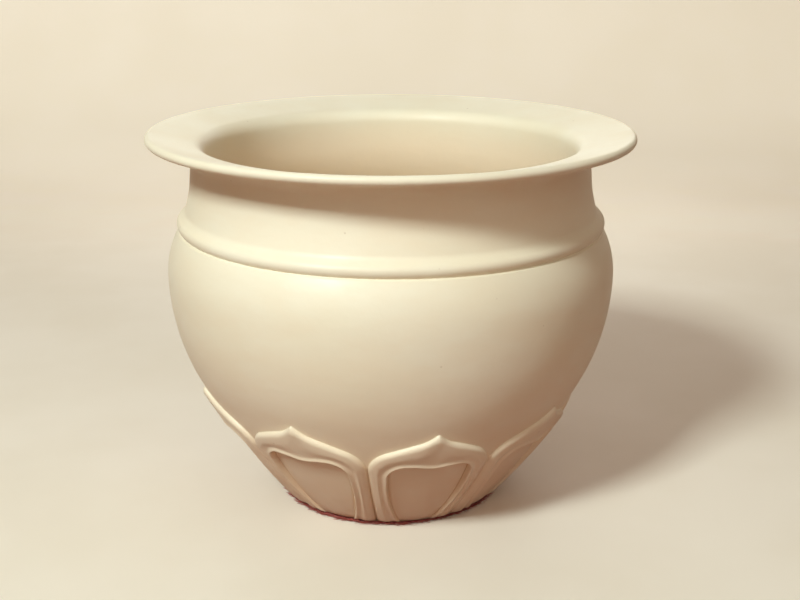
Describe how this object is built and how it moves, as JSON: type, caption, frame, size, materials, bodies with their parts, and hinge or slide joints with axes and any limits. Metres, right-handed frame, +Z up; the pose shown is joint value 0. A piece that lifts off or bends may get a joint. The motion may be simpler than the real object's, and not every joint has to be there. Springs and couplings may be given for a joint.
{
  "type": "cachepot",
  "caption": "Round-bellied ceramic cachepot with a wide rolled rim, a bead at the shoulder, relief lotus petals rising from a small foot, and a felt pad under it.",
  "frame": {"origin": "on the pot's axis, at the underside of the felt pad", "axes": "+Z up along the pot's axis, -Y towards the viewer of the picture"},
  "size_m": [0.3199, 0.32, 0.2512],
  "materials": {
    "glazed_body": "satin cream glaze",
    "adhesive": "dried adhesive film",
    "felt": "needle felt"
  },
  "bodies": {
    "root": {"pot_casting": "glazed_body", "adhesive_film": "adhesive", "felt_pad": "felt"}
  },
  "joints": []
}
